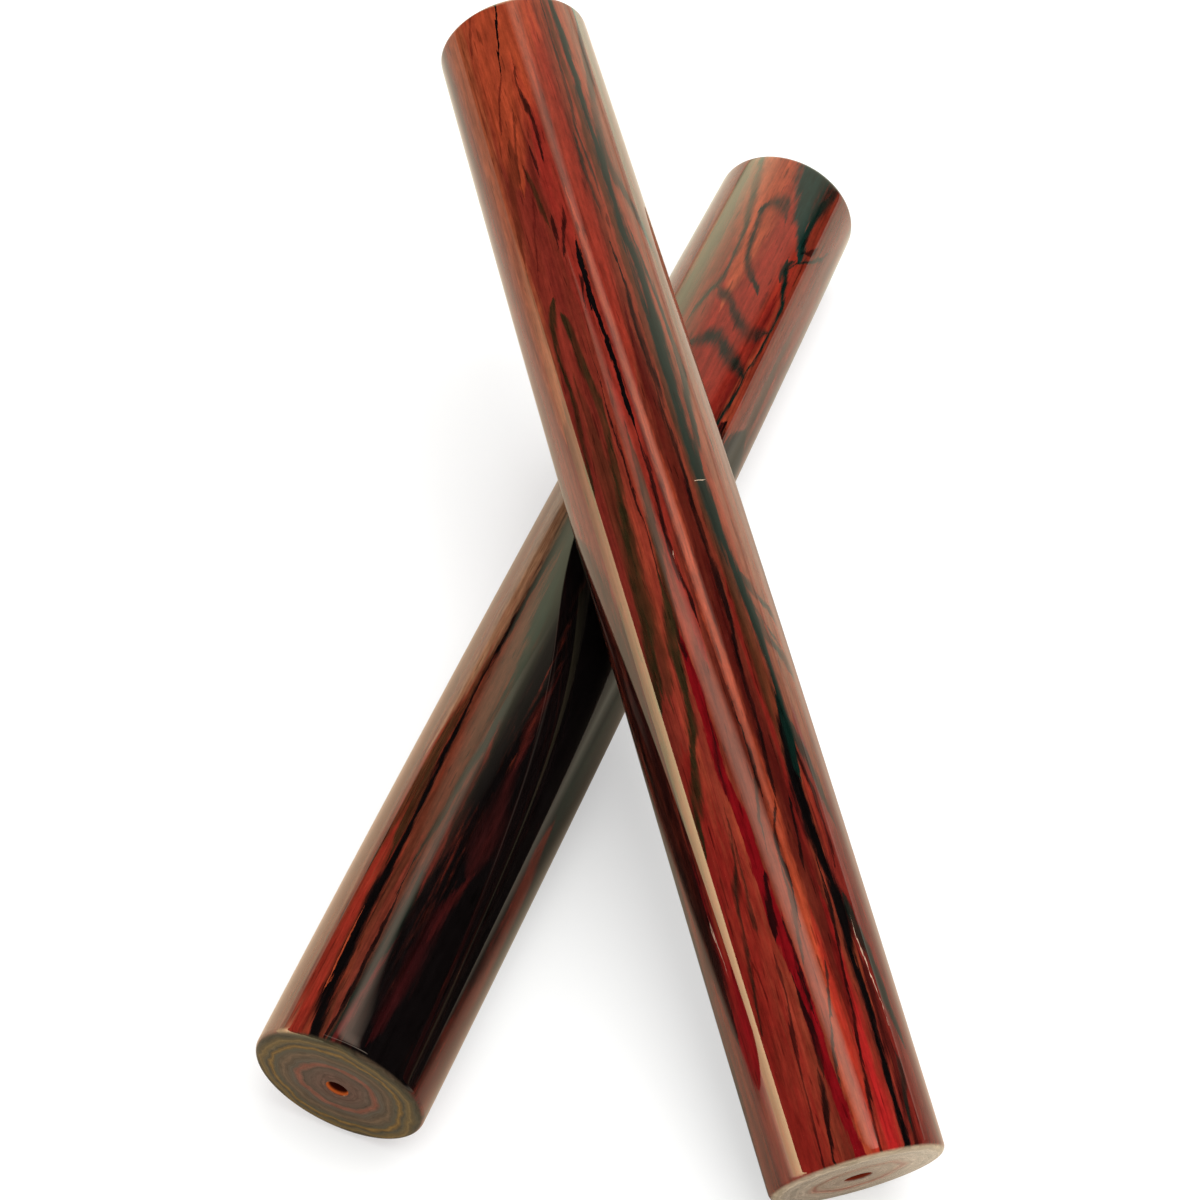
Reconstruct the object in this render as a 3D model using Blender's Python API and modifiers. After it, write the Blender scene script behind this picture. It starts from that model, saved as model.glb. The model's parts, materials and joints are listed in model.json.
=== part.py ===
"""A pair of claves: two turned hardwood rods, the striker resting across the resonator.

Run with: blender --background --python part.py
Units are metres. +Z is up, the claves stand on z = 0, and +Y runs midway between the two rods,
from their near ends to their far ends. The origin is the middle of the pair's footprint.
"""

from math import cos, pi, radians, sin, tan

import bpy
from mathutils import Matrix, Vector

# Driving dimensions of one rod.
LENGTH = 0.200
EDGE_ROUND = 0.0012
BARREL_POWER = 2.2
HOLE_DEPTH = 0.008
SINK_ANGLE = radians(60)
DRILL_POINT_ANGLE = radians(118)

# What differs between the two rods.
STRIKER = {"middle_radius": 0.01340, "end_radius": 0.01290, "mouth_radius": 0.0021, "drill_radius": 0.0014}
RESONATOR = {"middle_radius": 0.01375, "end_radius": 0.01325, "mouth_radius": 0.0018, "drill_radius": 0.0014}

# How the pair lies: angles seen from above, and where the rods cross, along each from its middle
# towards its far end.
CROSSING_ANGLE = radians(37)
STRIKER_CROSSING = 0.0074
RESONATOR_CROSSING = -0.0015
TOUCH_GAP = 0.0003

# Fineness of the solids.
TURNED_STEPS = 48
BARREL_STEPS = 10
ROUND_STEPS = 3
AXIS_MERGE = 0.00001
SHARP_ANGLE = radians(40)


def barrel_radius(rod, along):
    """The rod's radius at a distance from its middle: thickest there, and slimmer towards both ends."""
    fullness = abs(2 * along / LENGTH) ** BARREL_POWER
    return rod["middle_radius"] - (rod["middle_radius"] - rod["end_radius"]) * fullness


def end_profile(rod):
    """(radius, height) down one end: hole floor, drilled wall, countersink, flat face, rounded edge."""
    top = LENGTH / 2
    sink_depth = (rod["mouth_radius"] - rod["drill_radius"]) / tan(SINK_ANGLE / 2)
    point_depth = rod["drill_radius"] / tan(DRILL_POINT_ANGLE / 2)
    points = [
        (0, top - HOLE_DEPTH - point_depth),
        (rod["drill_radius"], top - HOLE_DEPTH),
        (rod["drill_radius"], top - sink_depth),
        (rod["mouth_radius"], top),
    ]
    for step in range(ROUND_STEPS + 1):
        turn = step / ROUND_STEPS * pi / 2
        radius = rod["end_radius"] - EDGE_ROUND * (1 - sin(turn))
        points.append((radius, top - EDGE_ROUND * (1 - cos(turn))))
    return points


def rod_profile(rod):
    """The whole turned outline, from the axis at the far end's hole to the axis at the near end's."""
    far_end = end_profile(rod)
    side_top = LENGTH / 2 - EDGE_ROUND
    side = []
    for step in range(1, BARREL_STEPS):
        along = side_top * (1 - 2 * step / BARREL_STEPS)
        side.append((barrel_radius(rod, along), along))
    near_end = [(radius, -height) for radius, height in reversed(far_end)]
    return far_end + side + near_end


def wood_material(name, colour):
    material = bpy.data.materials.new(name)
    material.use_nodes = True
    shader = material.node_tree.nodes["Principled BSDF"]
    shader.inputs["Base Color"].default_value = (*colour, 1)
    shader.inputs["Roughness"].default_value = 0.25
    shader.inputs["Metallic"].default_value = 0
    shader.inputs["Coat Weight"].default_value = 1
    shader.inputs["Coat Roughness"].default_value = 0.05
    return material


def apply_modifiers(piece):
    graph = bpy.context.evaluated_depsgraph_get()
    turned = bpy.data.meshes.new_from_object(piece.evaluated_get(graph))
    turned.name = piece.name
    piece.modifiers.clear()
    outline = piece.data
    piece.data = turned
    bpy.data.meshes.remove(outline)


def turned_rod(name, rod, material, collection):
    """One rod as a Screw of its outline about local Z, with its origin at its middle."""
    outline = rod_profile(rod)
    mesh = bpy.data.meshes.new(name)
    points = [(radius, 0, height) for radius, height in outline]
    mesh.from_pydata(points, [(i, i + 1) for i in range(len(points) - 1)], [])
    mesh.materials.append(material)
    piece = bpy.data.objects.new(name, mesh)
    collection.objects.link(piece)
    screw = piece.modifiers.new("Turned", "SCREW")
    screw.axis = "Z"
    screw.angle = 2 * pi
    screw.steps = TURNED_STEPS
    screw.render_steps = TURNED_STEPS
    screw.use_merge_vertices = True
    screw.merge_threshold = AXIS_MERGE
    apply_modifiers(piece)
    piece.data.shade_smooth()
    piece.data.set_sharp_from_angle(angle=SHARP_ANGLE)
    return piece


def heading(angle, tilt):
    """The direction from a rod's near end to its far end: turned from +Y towards +X, then raised."""
    return Vector((sin(angle) * cos(tilt), cos(angle) * cos(tilt), sin(tilt)))


def resting_layout(tilt):
    """Both rods' middles and directions, with the striker raised by tilt and touching the resonator.

    The resonator crosses under the origin here. The last value is the height of the striker's
    lowest point, at the rounded edge of its near end.
    """
    resonator_way = heading(CROSSING_ANGLE / 2, 0)
    striker_way = heading(-CROSSING_ANGLE / 2, tilt)
    across = resonator_way.cross(striker_way).normalized()
    if across.z < 0:
        across.negate()
    apart = (
        barrel_radius(RESONATOR, RESONATOR_CROSSING)
        + barrel_radius(STRIKER, STRIKER_CROSSING)
        + TOUCH_GAP
    )
    resonator_touch = Vector((0, 0, RESONATOR["middle_radius"]))
    striker_touch = resonator_touch + across * apart
    resonator_middle = resonator_touch - resonator_way * RESONATOR_CROSSING
    striker_middle = striker_touch - striker_way * STRIKER_CROSSING
    lowest = (
        striker_middle.z
        - (LENGTH / 2 - EDGE_ROUND) * sin(tilt)
        - (STRIKER["end_radius"] - EDGE_ROUND) * cos(tilt)
        - EDGE_ROUND
    )
    return resonator_middle, resonator_way, striker_middle, striker_way, lowest


def resting_tilt():
    """The tilt at which the striker lies on the resonator and its near end just meets z = 0."""
    low, high = radians(5), radians(30)
    for _ in range(50):
        middle = (low + high) / 2
        if resting_layout(middle)[-1] > 0:
            low = middle
        else:
            high = middle
    return low


def half_reach(rod, way, side):
    """How far a rod's far rim reaches from its middle along a world axis."""
    lean = way[side]
    return abs(lean) * LENGTH / 2 + (1 - lean * lean) ** 0.5 * rod["end_radius"]


def footprint_middle(placed):
    """The middle, in X and Y, of the box around rods given as (rod, middle, direction)."""
    centre = Vector((0, 0, 0))
    for side in (0, 1):
        high = max(middle[side] + half_reach(rod, way, side) for rod, middle, way in placed)
        low = min(middle[side] - half_reach(rod, way, side) for rod, middle, way in placed)
        centre[side] = (high + low) / 2
    return centre


def stand(piece, middle, way):
    """Places a rod by its middle, with local +Z along its direction and local Y level."""
    level = Vector((0, 0, 1)).cross(way).normalized()
    turned = Matrix((level.cross(way), level, way)).transposed()
    piece.matrix_world = Matrix.Translation(middle) @ turned.to_4x4()


def main():
    for old in list(bpy.data.objects):
        bpy.data.objects.remove(old, do_unlink=True)
    collection = bpy.data.collections.new("claves")
    bpy.context.scene.collection.children.link(collection)

    striker_wood = wood_material("striker_wood", (0.20, 0.03, 0.02))
    resonator_wood = wood_material("resonator_wood", (0.12, 0.03, 0.02))
    striker = turned_rod("striker_clave", STRIKER, striker_wood, collection)
    resonator = turned_rod("resonator_clave", RESONATOR, resonator_wood, collection)

    layout = resting_layout(resting_tilt())
    resonator_middle, resonator_way, striker_middle, striker_way = layout[:4]
    centre = footprint_middle(
        [(RESONATOR, resonator_middle, resonator_way), (STRIKER, striker_middle, striker_way)]
    )
    stand(resonator, resonator_middle - centre, resonator_way)
    stand(striker, striker_middle - centre, striker_way)


main()
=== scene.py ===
"""The look of a pair of lacquered rosewood claves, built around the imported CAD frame.

Each rod is a fine turned mesh that stands for its CAD node. Its wood is a procedural material laid
out in the rod's own coordinates: `along` runs in millimetres from -100 at the near end to 100 at the
far end, and `around` in degrees from the top of the rod, positive to the right seen from the near
end. Lengths in the mesh code are metres, as in the frame.
"""

import json
from math import cos, pi, radians, sin

import bpy
import numpy as np
from mathutils import Matrix, Vector, noise


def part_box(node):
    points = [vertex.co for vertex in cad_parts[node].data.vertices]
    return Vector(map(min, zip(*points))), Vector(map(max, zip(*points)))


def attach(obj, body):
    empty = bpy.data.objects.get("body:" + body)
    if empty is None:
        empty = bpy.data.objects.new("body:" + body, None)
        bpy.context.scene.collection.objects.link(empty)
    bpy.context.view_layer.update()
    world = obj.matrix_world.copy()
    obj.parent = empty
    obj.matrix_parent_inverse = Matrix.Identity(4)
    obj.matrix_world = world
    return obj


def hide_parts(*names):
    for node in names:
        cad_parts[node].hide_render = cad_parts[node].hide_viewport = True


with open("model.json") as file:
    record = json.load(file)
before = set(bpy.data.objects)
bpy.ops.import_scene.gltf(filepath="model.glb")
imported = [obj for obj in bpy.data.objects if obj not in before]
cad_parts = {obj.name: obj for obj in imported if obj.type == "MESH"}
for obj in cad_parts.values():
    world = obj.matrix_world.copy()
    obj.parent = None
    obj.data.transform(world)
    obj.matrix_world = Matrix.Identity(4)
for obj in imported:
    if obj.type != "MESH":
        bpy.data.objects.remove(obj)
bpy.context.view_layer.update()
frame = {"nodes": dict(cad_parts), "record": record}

MM = 0.001
UP = Vector((0, 0, 1))

# Fineness of the turned meshes.
STEPS_AROUND = 160
STEPS_ALONG = 240
STEPS_EDGE = 12
STEPS_FACE = 40

# ------------------------ rods, read from the frame

FACE_TOLERANCE = 0.01 * MM
AXIS_TOLERANCE = 0.1 * MM
EDGE_DEPTH = 1.3 * MM


def rod_from_frame(node, far_mount):
    """Where a rod lies and how big it is, measured on its CAD node."""
    low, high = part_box(node)
    middle = (low + high) / 2
    mount = next(m for m in frame["record"]["mounts"] if m["name"] == far_mount)
    way = Vector(mount["axis"]).normalized()
    left = UP.cross(way).normalized()
    turn = Matrix((left, way.cross(left), way)).transposed()
    half = (Vector(mount["pos_m"]) - middle).dot(way)
    points = np.array([turn.transposed() @ (v.co - middle) for v in frame["nodes"][node].data.vertices])
    radius = np.hypot(points[:, 0], points[:, 1])
    height = np.abs(points[:, 2])
    on_face = radius[height > half - FACE_TOLERANCE]
    inside = (radius > AXIS_TOLERANCE) & (radius < on_face.min() - FACE_TOLERANCE)
    end_radius = radius[height > half - EDGE_DEPTH].max()
    return {
        "place": Matrix.Translation(middle) @ turn.to_4x4(),
        "half": half,
        "middle_radius": radius.max(),
        "end_radius": end_radius,
        "edge": end_radius - on_face.max(),
        "mouth_radius": on_face.min(),
        "drill_radius": radius[inside].min(),
        "hole_floor": height[inside].min(),
        "hole_point": height[radius < AXIS_TOLERANCE].min(),
    }


BARREL_POWER = 2.2
WAVE_HEIGHT = 0.022 * MM
WAVE_LENGTH_AROUND = 11 * MM
WAVE_LENGTH_ALONG = 26 * MM
FACING_GROOVE = 0.012 * MM
FACING_PITCH = 0.9 * MM
FACING_STEP = 0.05 * MM
FACING_STEP_PLACE = 0.52
FACING_STEP_WIDTH = 0.12 * MM
SINK_SLOPE = 1.7
MOUTH_EASE_IN = 0.03 * MM
MOUTH_EASE_DOWN = 0.06 * MM
SHARP_FROM = radians(35)


def side_radius(rod, along):
    fullness = abs(along / rod["half"]) ** BARREL_POWER
    return rod["middle_radius"] - (rod["middle_radius"] - rod["end_radius"]) * fullness


def hand_sanded(x, y, z, seed):
    """The slight unevenness that sanding and thick lacquer leave, which makes reflections wander."""
    spot = Vector((x / WAVE_LENGTH_AROUND, y / WAVE_LENGTH_AROUND, z / WAVE_LENGTH_ALONG + seed))
    return WAVE_HEIGHT * noise.noise(spot)


def face_sink(rod, radius):
    """How far an end face lies below its plane: facing grooves, and a shallow step half way out."""
    groove = FACING_GROOVE * (1 - cos(2 * pi * radius / FACING_PITCH)) / 2
    step_at = FACING_STEP_PLACE * rod["end_radius"]
    inner = 1 / (1 + np.exp((radius - step_at) / FACING_STEP_WIDTH))
    return groove + FACING_STEP * inner


def end_rings(rod):
    """(radius, height) rings of one end, from the hole's floor out to the foot of the rounded edge."""
    half = rod["half"]
    mouth = rod["mouth_radius"]
    drill = rod["drill_radius"]
    sink_floor = half - (mouth - drill) * SINK_SLOPE
    rings = [(drill, rod["hole_floor"]), (drill, (rod["hole_floor"] + sink_floor) / 2)]
    rings += [(drill, sink_floor), (drill + 0.3 * (mouth - drill), sink_floor + 0.35 * (half - sink_floor))]
    rings += [(mouth - MOUTH_EASE_IN, half - face_sink(rod, mouth) - MOUTH_EASE_DOWN)]
    flat = rod["end_radius"] - rod["edge"]
    for step in range(STEPS_FACE + 1):
        radius = mouth + (flat - mouth) * step / STEPS_FACE
        rings.append((radius, half - face_sink(rod, radius)))
    for step in range(1, STEPS_EDGE + 1):
        turn = step / STEPS_EDGE * pi / 2
        rings.append((flat + rod["edge"] * sin(turn), half - rod["edge"] * (1 - cos(turn))))
    return rings


def rod_rings(rod):
    """All rings from the far hole to the near hole."""
    far = end_rings(rod)
    top = rod["half"] - rod["edge"]
    side = [top * (1 - 2 * step / STEPS_ALONG) for step in range(1, STEPS_ALONG)]
    near = [(radius, -height) for radius, height in reversed(far)]
    return far + [(side_radius(rod, along), along) for along in side] + near


def rod_mesh(rod, name, seed):
    """The turned mesh, ring by ring, closed by a fan at each hole's drill point."""
    rings = rod_rings(rod)
    points = [(0, 0, rod["hole_point"])]
    for radius, height in rings:
        for step in range(STEPS_AROUND):
            angle = 2 * pi * step / STEPS_AROUND
            x, y = -radius * sin(angle), radius * cos(angle)
            on_side = radius > rod["end_radius"] - rod["edge"]
            grown = 1 + (hand_sanded(x, y, height, seed) / radius if on_side else 0)
            points.append((x * grown, y * grown, height))
    points.append((0, 0, -rod["hole_point"]))
    last = len(points) - 1
    faces = []
    for step in range(STEPS_AROUND):
        after = (step + 1) % STEPS_AROUND
        faces.append((0, 1 + step, 1 + after))
        for ring in range(len(rings) - 1):
            here = 1 + ring * STEPS_AROUND
            below = here + STEPS_AROUND
            faces.append((here + step, below + step, below + after, here + after))
        base = 1 + (len(rings) - 1) * STEPS_AROUND
        faces.append((base + step, last, base + after))
    mesh = bpy.data.meshes.new(name)
    mesh.from_pydata(points, [], faces)
    mesh.validate()
    mesh.shade_smooth()
    mesh.set_sharp_from_angle(angle=SHARP_FROM)
    return mesh


# ------------------------ node building


class Shader:
    """Builds one material's nodes. Its methods take sockets or plain numbers."""

    def __init__(self, name):
        self.material = bpy.data.materials.new(name)
        self.material.use_nodes = True
        self.tree = self.material.node_tree
        self.surface = self.tree.nodes["Principled BSDF"]

    def node(self, kind, **settings):
        made = self.tree.nodes.new("ShaderNode" + kind)
        for key, value in settings.items():
            setattr(made, key, value)
        return made

    def feed(self, socket, value):
        if isinstance(value, bpy.types.NodeSocket):
            self.tree.links.new(value, socket)
        else:
            socket.default_value = value

    def math(self, operation, *values):
        made = self.node("Math", operation=operation)
        for socket, value in zip(made.inputs, values):
            self.feed(socket, value)
        return made.outputs[0]

    def centred(self, value, spread):
        """A value from 0 to 1 as one from -spread / 2 to spread / 2."""
        return self.math("MULTIPLY_ADD", value, spread, -spread / 2)

    def span(self, value, start, end, low=0.0, high=1.0, smooth=True):
        """Maps start..end to low..high, held at both ends."""
        made = self.node("MapRange", interpolation_type="SMOOTHSTEP" if smooth else "LINEAR")
        for socket, number in zip(made.inputs, (value, start, end, low, high)):
            self.feed(socket, number)
        return made.outputs[0]

    def vector(self, x, y, z):
        made = self.node("CombineXYZ")
        for socket, value in zip(made.inputs, (x, y, z)):
            self.feed(socket, value)
        return made.outputs[0]

    def noise(self, spot, scale, detail=2.0, rough=0.5, distortion=0.0):
        made = self.node("TexNoise")
        self.feed(made.inputs["Vector"], spot)
        made.inputs["Scale"].default_value = scale
        made.inputs["Detail"].default_value = detail
        made.inputs["Roughness"].default_value = rough
        made.inputs["Distortion"].default_value = distortion
        return made.outputs["Fac"]

    def mix(self, share, first, second):
        made = self.node("Mix", data_type="RGBA")
        for socket, value in zip((made.inputs[0], made.inputs[6], made.inputs[7]), (share, first, second)):
            self.feed(socket, value)
        return made.outputs[2]

    def shaded(self, colour, shade):
        made = self.node("VectorMath", operation="SCALE")
        self.feed(made.inputs[0], colour)
        self.feed(made.inputs["Scale"], shade)
        return made.outputs[0]

    def ramp(self, value, stops):
        made = self.node("ValToRGB")
        self.feed(made.inputs[0], value)
        elements = made.color_ramp.elements
        while len(elements) < len(stops):
            elements.new(0.5)
        for element, (place, colour) in zip(elements, stops):
            element.position = place
            element.color = colour
        return made.outputs[0]

    def two_curves(self, value, first, second):
        """Two smooth curves of one value, each a list of (input, output) points from 0 to 1."""
        made = self.node("RGBCurve")
        self.feed(made.inputs["Color"], value)
        made.mapping.extend = "HORIZONTAL"
        for curve, places in zip(made.mapping.curves, (first, second)):
            while len(curve.points) < len(places):
                curve.points.new(0.5, 0.5)
            for point, place in zip(curve.points, places):
                point.location = place
                point.handle_type = "AUTO_CLAMPED"
        made.mapping.update()
        split = self.node("SeparateColor")
        self.feed(split.inputs[0], made.outputs[0])
        return split.outputs[0], split.outputs[1]


def paint(red, green, blue):
    """A colour given as a screen shows it, 0 to 255, as the linear colour that a shader takes."""
    return (*[((c / 255 + 0.055) / 1.055) ** 2.4 for c in (red, green, blue)], 1)


# ------------------------ rosewood

BLACK = paint(9, 6, 6)
PINE = paint(9, 26, 21)
OLIVE = paint(34, 28, 14)
DARK_RED = paint(58, 11, 9)
CRIMSON = paint(98, 9, 14)
RED_BROWN = paint(104, 29, 20)
BROWN = paint(84, 34, 20)
ORANGE = paint(146, 60, 34)
SALMON = paint(112, 60, 38)
TAN = paint(104, 66, 42)
RAW_WOOD = paint(180, 84, 36)
# pale specks in the lacquer, and painted glints where open pores catch the light
GLINT_AND_SPECK = paint(214, 186, 160)
# painted shade deep inside the centre holes
PAINTED_HOLE_SHADE = paint(52, 16, 8)

# A streak's widest and thinnest half width, each a share of the way round or along.
WIDEST = 0.1
THINNEST = 0.0000001

# How far the grain wanders sideways, in degrees: slowly, and in a fine ragged way.
WANDER_SLOW = 3.0
WANDER_RAGGED = 8.0

# How far apart in the noise its layers and the two rods lie, in millimetres.
LAYER_SHIFT = 40.0
ROD_SHIFT = 97.0

# Where the body's five tones come in, darkest first.
TONE_STOPS = (0.22, 0.38, 0.50, 0.62, 0.80)

# The dark bands of the growth rings, as (where, how wide, colour), and how many degrees from the top
# they start and are full.
INK_BANDS = ((0.47, 0.022, PINE), (0.58, 0.016, BLACK), (0.40, 0.010, OLIVE))
INK_FROM, INK_FULL = 62, 100

# Millimetres: the disc that an end's rings are drawn for, how deep under the end face the side's wood
# starts and ends to give way, and how far about the hole's mouth the raw wood does.
RINGED_RADIUS = 14
CUT_START, CUT_FULL = 0.75, 0.25
MOUTH_OUTSIDE, MOUTH_INSIDE = 0.05, 0.15


class Lie:
    """Where a shading point lies on a rod: millimetres along, degrees around, and both from 0 to 1."""

    def __init__(self, shader, seed):
        place = shader.node("TexCoord").outputs["Object"]
        split = shader.node("SeparateXYZ")
        shader.feed(split.inputs[0], place)
        self.x, self.y, self.along = [shader.math("MULTIPLY", out, 1 / MM) for out in split.outputs]
        radius = shader.math("MULTIPLY", self.x, self.x)
        self.radius = shader.math("SQRT", shader.math("MULTIPLY_ADD", self.y, self.y, radius))
        turn = shader.math("ARCTAN2", shader.math("MULTIPLY", self.x, -1.0), self.y)
        self.around = shader.math("DEGREES", turn)
        self.shader = shader
        self.seed = seed

    def grain(self, stretch, layer, scale, detail=2.0, rough=0.5, distortion=0.0):
        """Noise in millimetres, drawn out along the grain. Each layer has its own corner of it."""
        shift = LAYER_SHIFT * layer + ROD_SHIFT * self.seed
        drawn = self.shader.math("MULTIPLY_ADD", self.along, 1 / stretch, shift)
        return self.shader.noise(self.shader.vector(self.x, self.y, drawn), scale, detail, rough, distortion)

    def wander(self):
        """The grain's own sideways wander, in degrees, wide and slow with a fine ragged edge on it."""
        slow = self.grain(5, layer=1, scale=0.16)
        ragged = self.grain(8, layer=2, scale=0.8, detail=4.0, rough=0.7)
        slow = self.shader.centred(slow, WANDER_SLOW)
        return self.shader.math("ADD", slow, self.shader.centred(ragged, WANDER_RAGGED))

    def shares(self):
        """Along and around, wandered, each as a share of its whole range."""
        wandered = self.shader.math("ADD", self.around, self.wander())
        around = self.shader.math("MULTIPLY_ADD", wandered, 1 / 360, 0.5)
        along = self.shader.math("MULTIPLY_ADD", self.along, 1 / 200, 0.5)
        return along, around


def streak(colour, *points, depth=0.92, soft=1.0, runs="along"):
    """A streak: its colour, its course, how much it hides, and how soft its edges are. Its points are
    (along, around, half width in degrees), or where it runs around, (around, along, half width in mm).
    A point without a half width is a tip."""
    places = []
    for run, side, *half in points:
        width = half[0] if half else 0
        if runs == "around":
            places.append(((run + 180) / 360, (side + 100) / 200, width / 200))
        else:
            places.append(((run + 100) / 200, (side + 180) / 360, width / 360))
    return {"colour": colour, "places": places, "depth": depth, "soft": soft, "runs": runs}


def streak_cover(shader, run, side, fray, places, soft):
    """How much a streak covers: places are (run, side, half width), each a share of its range."""
    path, width = shader.two_curves(
        run,
        [(at, middle) for at, middle, _ in places],
        [(at, half / WIDEST) for at, _, half in places],
    )
    reach = shader.math("MULTIPLY_ADD", width, WIDEST, THINNEST)
    off = shader.math("ABSOLUTE", shader.math("SUBTRACT", side, path))
    inward = shader.math("SUBTRACT", fray, shader.math("DIVIDE", off, reach))
    return shader.span(inward, 0.0, soft)


def lay_streaks(shader, lie, colour, streaks):
    """Lays streaks over a colour, in order, with frayed edges. Those that hide less are also patchy."""
    along, around = lie.shares()
    threads = lie.grain(26, layer=11, scale=1.3, detail=3.0, rough=0.6)
    tufts = lie.grain(9, layer=14, scale=1.5, detail=3.0, rough=0.7)
    fray = shader.math("MULTIPLY_ADD", tufts, 1.2, shader.math("MULTIPLY_ADD", threads, 1.5, 0.1))
    patches = lie.grain(6, layer=13, scale=0.5, detail=3.0, rough=0.6)
    patchy = shader.span(patches, 0.34, 0.56, low=0.72, high=1.0)
    for each in streaks:
        run, side = (around, along) if each["runs"] == "around" else (along, around)
        cover = streak_cover(shader, run, side, fray, each["places"], each["soft"])
        if each["depth"] < 1:
            cover = shader.math("MULTIPLY", cover, shader.math("MULTIPLY", patchy, each["depth"]))
        colour = shader.mix(cover, colour, each["colour"])
    return colour


def body_wood(shader, lie, tones):
    """The wood all round the rod, in broad tones with lines through them."""
    broad = lie.grain(16, layer=3, scale=0.12, distortion=0.3)
    lines = lie.grain(34, layer=12, scale=0.5, detail=4.0, rough=0.62)
    tone = shader.math("MULTIPLY_ADD", lines, 0.9, shader.math("MULTIPLY_ADD", broad, 0.9, -0.4))
    return shader.ramp(tone, list(zip(TONE_STOPS, tones)))


def ink_bands(shader, lie, colour):
    """Dark looping bands where growth rings break the surface, on the sides that carry no named streak."""
    away = shader.span(shader.math("ABSOLUTE", lie.around), INK_FROM, INK_FULL)
    rings = lie.grain(11, layer=4, scale=0.10, detail=2.5, distortion=0.5)
    ragged = lie.grain(9, layer=5, scale=0.9, detail=3.0, rough=0.65)
    rings = shader.math("MULTIPLY_ADD", ragged, 0.05, rings)
    for middle, width, tint in INK_BANDS:
        off = shader.math("ABSOLUTE", shader.math("SUBTRACT", rings, middle))
        cover = shader.span(off, 0.3 * width, width, low=1.0, high=0.0)
        colour = shader.mix(shader.math("MULTIPLY", cover, shader.math("MULTIPLY", away, 0.85)), colour, tint)
    return colour


def fine_grain(shader, lie, colour):
    """Fine lines, mottle, fibre, seams and pores, over everything."""
    lines = lie.grain(24, layer=6, scale=0.8, detail=4.0, rough=0.65)
    mottle = lie.grain(3.5, layer=15, scale=0.95, detail=5.0, rough=0.78)
    fibre = lie.grain(14, layer=7, scale=2.4)
    seams = lie.grain(40, layer=17, scale=1.7, detail=3.0, rough=0.6)
    pores = lie.grain(11, layer=8, scale=2.4, detail=0.0)
    pore = shader.span(pores, 0.72, 0.80, low=1.0, high=0.55)
    shade = shader.span(lines, 0.3, 0.68, low=0.80, high=1.22, smooth=False)
    for other in (
        shader.span(mottle, 0.3, 0.7, low=0.72, high=1.27, smooth=False),
        shader.span(fibre, 0.3, 0.7, low=0.87, high=1.13, smooth=False),
        shader.span(seams, 0.54, 0.70, low=1.0, high=0.68),
        pore,
    ):
        shade = shader.math("MULTIPLY", shade, other)
    return shader.shaded(colour, shade), pore, fibre


def end_grain(shader, lie, rings):
    """The cut end: growth rings round the middle, a little out of round, and fine rings among them."""
    bend = lie.grain(60, layer=9, scale=0.16)
    ragged = lie.grain(60, layer=10, scale=0.9, detail=3.0, rough=0.6)
    radius = shader.math("ADD", lie.radius, shader.centred(bend, 3.0))
    radius = shader.math("ADD", radius, shader.centred(ragged, 0.7))
    colour = shader.ramp(shader.math("MULTIPLY", radius, 1 / RINGED_RADIUS), rings)
    swirl = shader.math("MULTIPLY", lie.grain(60, layer=16, scale=0.35), 1.6)
    fine_rings = shader.noise(shader.vector(radius, swirl, 0.0), scale=1.5, detail=3.0, rough=0.7)
    return shader.shaded(colour, shader.span(fine_rings, 0.3, 0.7, low=0.55, high=1.5, smooth=False))


def rosewood(name, rod, look):
    """One rod's lacquered wood: its side, its two cut ends and the raw wood in its centre holes, with painted
    shade deepening down the holes.
    """
    shader = Shader(name)
    lie = Lie(shader, look["seed"])
    colour = body_wood(shader, lie, look["tones"])
    colour = ink_bands(shader, lie, colour)
    colour = lay_streaks(shader, lie, colour, look["streaks"])
    colour, pore, fibre = fine_grain(shader, lie, colour)

    depth = shader.math("SUBTRACT", rod["half"] / MM, shader.math("ABSOLUTE", lie.along))
    cut = shader.span(depth, CUT_START, CUT_FULL)
    colour = shader.mix(cut, colour, end_grain(shader, lie, look["rings"]))
    mouth = rod["mouth_radius"] / MM
    hole = shader.span(lie.radius, mouth + MOUTH_OUTSIDE, mouth - MOUTH_INSIDE)
    colour = shader.mix(hole, colour, look["hole"])
    # painted shade: from the mouth down to the drill's width the hole darkens, as the shade deepens inside it
    painted_hole_shade = shader.span(lie.radius, mouth - MOUTH_INSIDE, rod["drill_radius"] / MM)
    colour = shader.mix(painted_hole_shade, colour, PAINTED_HOLE_SHADE)

    surface = shader.surface.inputs
    shader.feed(surface["Base Color"], colour)
    shader.feed(surface["Roughness"], shader.span(fibre, 0.3, 0.7, low=0.36, high=0.5, smooth=False))
    surface["Specular IOR Level"].default_value = 0.0
    bare = shader.math("MAXIMUM", hole, shader.math("MULTIPLY", cut, 1 - look["end_coat"]))
    shader.feed(surface["Coat Weight"], shader.math("SUBTRACT", 1.0, bare))
    surface["Coat Roughness"].default_value = 0.03
    surface["Coat IOR"].default_value = 1.5
    bump = shader.node("Bump")
    bump.inputs["Strength"].default_value = 0.25
    bump.inputs["Distance"].default_value = 0.05 * MM
    shader.feed(bump.inputs["Height"], shader.math("MULTIPLY_ADD", fibre, 0.4, pore))
    shader.feed(surface["Normal"], bump.outputs[0])
    return shader.material


# ------------------------ the two rods' figures

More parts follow.
